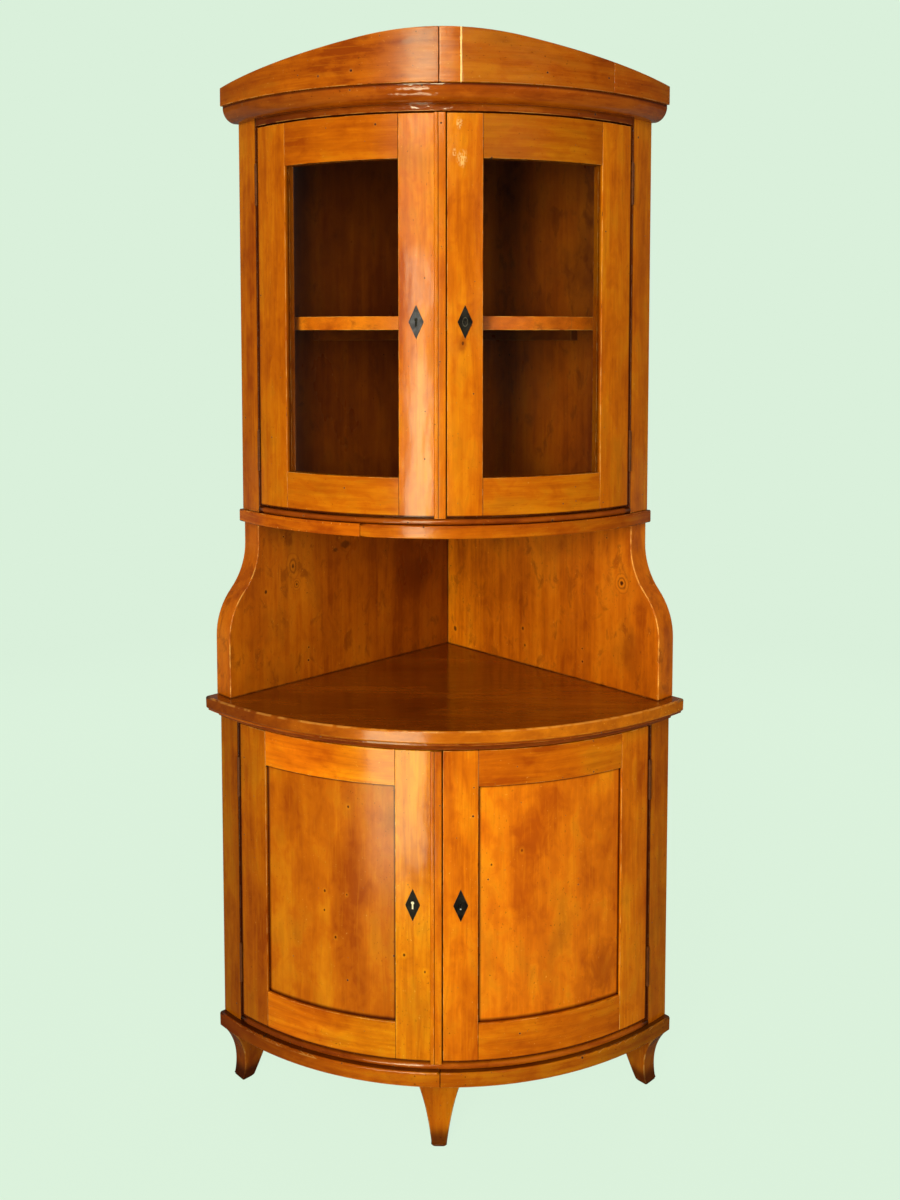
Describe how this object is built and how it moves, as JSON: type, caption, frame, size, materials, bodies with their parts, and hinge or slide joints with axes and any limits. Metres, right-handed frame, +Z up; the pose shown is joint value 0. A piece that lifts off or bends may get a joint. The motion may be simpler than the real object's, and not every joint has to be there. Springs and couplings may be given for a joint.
{
  "type": "corner cupboard",
  "caption": "Bow-fronted corner cupboard: panelled doors below, an open niche over the worktop and glazed doors above, under an arched cornice.",
  "frame": {"origin": "on the floor, under the middle of the cupboard's bounding box", "axes": "+Z up, the bowed front faces -Y, the corner of the room is towards +Y, +X to the right seen from the front"},
  "size_m": [0.9192, 0.6499, 2.007],
  "materials": {
    "frame_wood": "aged varnish over honey-coloured timber",
    "rail_wood": "aged varnish over honey-coloured timber",
    "panel_wood": "aged varnish over honey-coloured timber",
    "moulding_wood": "aged varnish over honey-coloured timber",
    "board_wood": "aged varnish over honey-coloured timber",
    "worktop_wood": "aged varnish over honey-coloured timber",
    "window_glass": "clear old window glass",
    "iron_plate": "blackened, worn at the keyhole",
    "steel_plate": "dull grey steel",
    "hinge_iron": "dark, browned",
    "lock_steel": "aged, dull"
  },
  "bodies": {
    "carcass": {"cornice_fascia": "rail_wood", "cornice_moulding": "moulding_wood", "frame_hinge_leaves": "hinge_iron", "frieze_rail": "rail_wood", "front_foot": "frame_wood", "hinge_pins": "hinge_iron", "left_foot": "frame_wood", "lower_bead_rail": "moulding_wood", "lower_floor_board": "board_wood", "lower_left_side_board": "board_wood", "lower_left_stile": "frame_wood", "lower_right_side_board": "board_wood", "lower_right_stile": "frame_wood", "lower_shelf": "board_wood", "lower_top_rail": "rail_wood", "plinth_fascia": "rail_wood", "rear_foot": "frame_wood", "right_foot": "frame_wood", "shelf_battens": "board_wood", "upper_bead_rail": "moulding_wood", "upper_floor_board": "board_wood", "upper_left_side_board": "board_wood", "upper_left_stile": "frame_wood", "upper_right_side_board": "board_wood", "upper_right_stile": "frame_wood", "upper_shelf": "board_wood", "upper_top_board": "board_wood", "waist_moulding": "rail_wood", "worktop": "worktop_wood", "worktop_moulding": "moulding_wood"},
    "lower_door_bolt": {"lower_left_door_bolt": "lock_steel"},
    "lower_left_door": {"lower_left_door_bolt_plate": "lock_steel", "lower_left_door_cover_strip": "frame_wood", "lower_left_door_hinge_leaves": "hinge_iron", "lower_left_door_keyhole_plate": "iron_plate", "lower_left_door_panel": "panel_wood", "lower_left_door_rails": "rail_wood", "lower_left_door_stiles": "frame_wood"},
    "lower_right_door": {"lower_right_door_hinge_leaves": "hinge_iron", "lower_right_door_keyhole_plate": "iron_plate", "lower_right_door_lock_case": "lock_steel", "lower_right_door_panel": "panel_wood", "lower_right_door_rails": "rail_wood", "lower_right_door_stiles": "frame_wood"},
    "lower_lock_bolt": {"lower_right_door_lock_bolt": "lock_steel"},
    "upper_door_bolt": {"upper_left_door_bolt": "lock_steel"},
    "upper_left_door": {"upper_left_door_bolt_plate": "lock_steel", "upper_left_door_cover_strip": "frame_wood", "upper_left_door_glass": "window_glass", "upper_left_door_hinge_leaves": "hinge_iron", "upper_left_door_keyhole_plate": "steel_plate", "upper_left_door_rails": "rail_wood", "upper_left_door_stiles": "frame_wood"},
    "upper_right_door": {"upper_right_door_glass": "window_glass", "upper_right_door_hinge_leaves": "hinge_iron", "upper_right_door_keyhole_plate": "iron_plate", "upper_right_door_lock_case": "lock_steel", "upper_right_door_rails": "rail_wood", "upper_right_door_stiles": "frame_wood"},
    "upper_lock_bolt": {"upper_right_door_lock_bolt": "lock_steel"}
  },
  "joints": [
    {"name": "lower_left_door_hinge", "type": "hinge", "parent": "carcass", "child": "lower_left_door", "pos_m": [-0.39443, -0.15076, 0], "axis": [0, 0, -1], "range_deg": [0, 100]},
    {"name": "lower_right_door_hinge", "type": "hinge", "parent": "carcass", "child": "lower_right_door", "pos_m": [0.39443, -0.15076, 0], "axis": [0, 0, 1], "range_deg": [0, 100]},
    {"name": "upper_left_door_hinge", "type": "hinge", "parent": "carcass", "child": "upper_left_door", "pos_m": [-0.35407, -0.12005, 0], "axis": [0, 0, -1], "range_deg": [0, 100]},
    {"name": "upper_right_door_hinge", "type": "hinge", "parent": "carcass", "child": "upper_right_door", "pos_m": [0.35407, -0.12005, 0], "axis": [0, 0, 1], "range_deg": [0, 100]},
    {"name": "lower_lock_bolt_slide", "type": "slide", "parent": "lower_right_door", "child": "lower_lock_bolt", "axis": [-0.9988, -0.0486, 0], "range_m": [0, 0.012]},
    {"name": "lower_door_bolt_slide", "type": "slide", "parent": "lower_left_door", "child": "lower_door_bolt", "axis": [0, 0, 1], "range_m": [0, 0.014]},
    {"name": "upper_lock_bolt_slide", "type": "slide", "parent": "upper_right_door", "child": "upper_lock_bolt", "axis": [-0.9973, -0.0739, 0], "range_m": [0, 0.012]},
    {"name": "upper_door_bolt_slide", "type": "slide", "parent": "upper_left_door", "child": "upper_door_bolt", "axis": [0, 0, 1], "range_m": [0, 0.014]}
  ]
}
